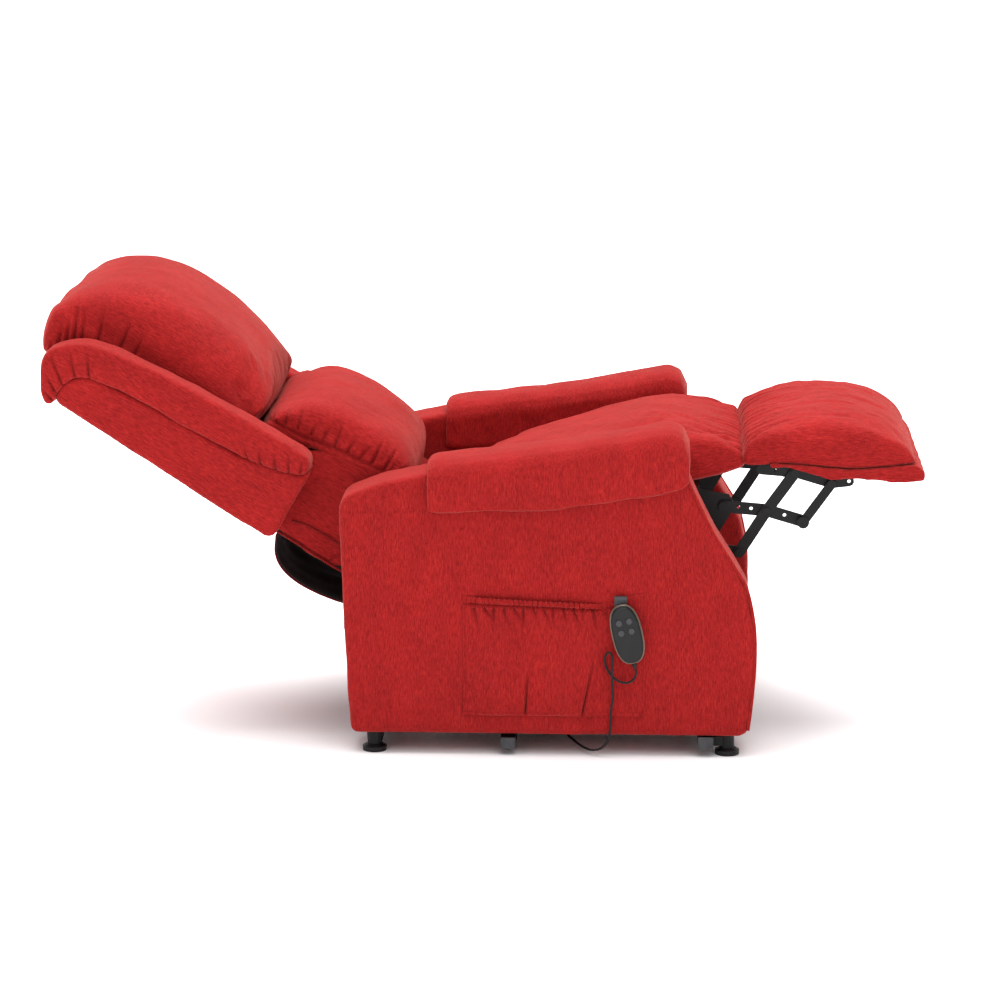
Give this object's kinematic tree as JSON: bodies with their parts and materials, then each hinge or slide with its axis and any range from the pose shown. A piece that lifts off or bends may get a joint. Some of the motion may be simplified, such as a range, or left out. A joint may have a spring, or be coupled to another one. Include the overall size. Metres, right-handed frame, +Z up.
{
  "type": "lift recliner chair",
  "caption": "Upholstered lift recliner with tilting base, reclining pillow back, folding footrest on scissor links, side pocket and corded handset, shown fully reclined",
  "frame": {"origin": "on the floor, at the centre of the footprint of the bounding box, with the chair reclined and the footrest out", "axes": "+Z up, -Y to the front (the footrest end), -X to the sitter's right (the pocket side)"},
  "size_m": [0.802, 1.709, 0.9106],
  "materials": {
    "red_chenille": "matt red chenille with a fine streaked nap",
    "flap_cloth": "matt red cloth, black lining",
    "bronze_trim": "satin bronze",
    "bright_steel": "bright ground steel",
    "black_plastic": "black, fine texture",
    "grey_plastic": "dark grey",
    "cord_jacket": "black PVC jacket",
    "black_metal": "satin black powder coat"
  },
  "bodies": {
    "base": {"base_frame": "black_metal", "glide_foot_front_left": "black_plastic", "glide_foot_front_right": "black_plastic", "glide_foot_rear_left": "black_plastic", "glide_foot_rear_right": "black_plastic", "tube_cap_front_left": "grey_plastic", "tube_cap_front_right": "grey_plastic", "tube_cap_middle_left": "grey_plastic", "tube_cap_middle_right": "grey_plastic"},
    "rear_arms": {"rear_lift_arms": "black_metal"},
    "front_arms": {"front_lift_arm_left": "black_metal", "front_lift_arm_right": "black_metal"},
    "lift_motor": {"lift_actuator_motor": "black_plastic"},
    "lift_rod": {"lift_actuator_rod": "bright_steel"},
    "chair_body": {"arm_pad_left": "red_chenille", "arm_pad_right": "red_chenille", "control_box": "black_plastic", "cord_gland": "grey_plastic", "handset_cord": "cord_jacket", "handset_face": "black_plastic", "handset_hook": "grey_plastic", "handset_rim": "bronze_trim", "handset_shell": "black_plastic", "handset_strain_relief": "black_plastic", "lift_frame": "black_metal", "mains_inlet": "grey_plastic", "side_panel_left": "red_chenille", "side_panel_right": "red_chenille", "side_pocket": "red_chenille"},
    "seat": {"seat_cushion": "red_chenille", "seat_deck": "black_plastic", "seat_frame": "black_metal"},
    "back": {"back_frame": "black_metal", "back_shell": "red_chenille", "head_pillow": "red_chenille", "lumbar_pillow": "red_chenille", "rear_flap": "flap_cloth", "wing_bolster_left": "red_chenille", "wing_bolster_right": "red_chenille"},
    "back_motor": {"back_actuator_motor": "black_plastic"},
    "back_rod": {"back_actuator_rod": "bright_steel"},
    "footrest_front_links": {"footrest_front_link_left": "black_metal", "footrest_front_link_right": "black_metal"},
    "footrest_rear_links": {"footrest_rear_link_left": "black_metal", "footrest_rear_link_right": "black_metal"},
    "footrest_outer_links": {"footrest_outer_link_left": "black_metal", "footrest_outer_link_right": "black_metal"},
    "footrest_inner_links": {"footrest_inner_link_left": "black_metal", "footrest_inner_link_right": "black_metal"},
    "footrest": {"footrest_board": "red_chenille", "footrest_bracket_left": "black_metal", "footrest_bracket_right": "black_metal", "footrest_pad": "red_chenille"},
    "button_1": {"handset_button_1": "grey_plastic"},
    "button_2": {"handset_button_2": "grey_plastic"},
    "button_3": {"handset_button_3": "grey_plastic"},
    "button_4": {"handset_button_4": "grey_plastic"}
  },
  "joints": [
    {"name": "lift", "type": "hinge", "parent": "base", "child": "rear_arms", "pos_m": [0, -0.353, 0.0849], "axis": [1, 0, 0], "range_deg": [0, 43.44]},
    {"name": "lift_body_tilt", "type": "hinge", "parent": "rear_arms", "child": "chair_body", "pos_m": [0, 0.167, 0.0622], "axis": [1, 0, 0], "range_deg": [-19.48, 0]},
    {"name": "lift_front_arm", "type": "hinge", "parent": "base", "child": "front_arms", "pos_m": [0, -0.419, 0.0799], "axis": [1, 0, 0], "range_deg": [0, 50.03]},
    {"name": "lift_motor_swing", "type": "hinge", "parent": "base", "child": "lift_motor", "pos_m": [0, 0.19, 0.062], "axis": [1, 0, 0], "range_deg": [0, 0.278]},
    {"name": "lift_rod_slide", "type": "slide", "parent": "lift_motor", "child": "lift_rod", "axis": [0, -0.9856, 0.1691], "range_m": [0, 0.05317]},
    {"name": "seat_tilt", "type": "hinge", "parent": "chair_body", "child": "seat", "pos_m": [0, -0.083, 0.33], "axis": [1, 0, 0], "range_deg": [0, 9.02]},
    {"name": "back_recline", "type": "hinge", "parent": "seat", "child": "back", "pos_m": [0, 0.167, 0.4], "axis": [1, 0, 0], "range_deg": [0, 35]},
    {"name": "back_motor_swing", "type": "hinge", "parent": "seat", "child": "back_motor", "pos_m": [0, -0.173, 0.334], "axis": [1, 0, 0], "range_deg": [0, 3.57]},
    {"name": "back_rod_slide", "type": "slide", "parent": "back_motor", "child": "back_rod", "axis": [0, 0.9966, -0.0826], "range_m": [0, 0.05285]},
    {"name": "footrest_fold", "type": "hinge", "parent": "seat", "child": "footrest_front_links", "pos_m": [0, -0.465, 0.467], "axis": [1, 0, 0], "range_deg": [0, 90]},
    {"name": "footrest_rear_link", "type": "hinge", "parent": "seat", "child": "footrest_rear_links", "pos_m": [0, -0.413, 0.384], "axis": [1, 0, 0], "range_deg": [0, 90.1]},
    {"name": "footrest_outer_link", "type": "hinge", "parent": "footrest_front_links", "child": "footrest_outer_links", "pos_m": [0, -0.548, 0.46], "axis": [1, 0, 0], "range_deg": [-90.1, 0]},
    {"name": "footrest_inner_link", "type": "hinge", "parent": "footrest_front_links", "child": "footrest_inner_links", "pos_m": [0, -0.619, 0.439], "axis": [1, 0, 0], "range_deg": [-90.1, 0]},
    {"name": "footrest_board_turn", "type": "hinge", "parent": "footrest_outer_links", "child": "footrest", "pos_m": [0, -0.602, 0.536], "axis": [1, 0, 0], "range_deg": [0, 90.1]},
    {"name": "button_1_press", "type": "slide", "parent": "chair_body", "child": "button_1", "axis": [1, 0, 0], "range_m": [0, 0.0015], "stiffness_N_per_m": 500},
    {"name": "button_2_press", "type": "slide", "parent": "chair_body", "child": "button_2", "axis": [1, 0, 0], "range_m": [0, 0.0015], "stiffness_N_per_m": 500},
    {"name": "button_3_press", "type": "slide", "parent": "chair_body", "child": "button_3", "axis": [1, 0, 0], "range_m": [0, 0.0015], "stiffness_N_per_m": 500},
    {"name": "button_4_press", "type": "slide", "parent": "chair_body", "child": "button_4", "axis": [1, 0, 0], "range_m": [0, 0.0015], "stiffness_N_per_m": 500}
  ],
  "couplings": [
    {"joint": "lift_body_tilt", "follows": "lift", "ratio": -0.44752},
    {"joint": "lift_front_arm", "follows": "lift", "ratio": 1.1494},
    {"joint": "lift_motor_swing", "follows": "lift", "ratio": 0.00638},
    {"joint": "lift_rod_slide", "follows": "lift", "m_per_rad": 0.069984},
    {"joint": "seat_tilt", "follows": "back_recline", "ratio": 0.25714},
    {"joint": "back_motor_swing", "follows": "back_recline", "ratio": 0.10185},
    {"joint": "back_rod_slide", "follows": "back_recline", "m_per_rad": 0.086346},
    {"joint": "footrest_rear_link", "follows": "footrest_fold", "ratio": 1},
    {"joint": "footrest_outer_link", "follows": "footrest_fold", "ratio": -1},
    {"joint": "footrest_inner_link", "follows": "footrest_fold", "ratio": -1},
    {"joint": "footrest_board_turn", "follows": "footrest_fold", "ratio": 1}
  ]
}
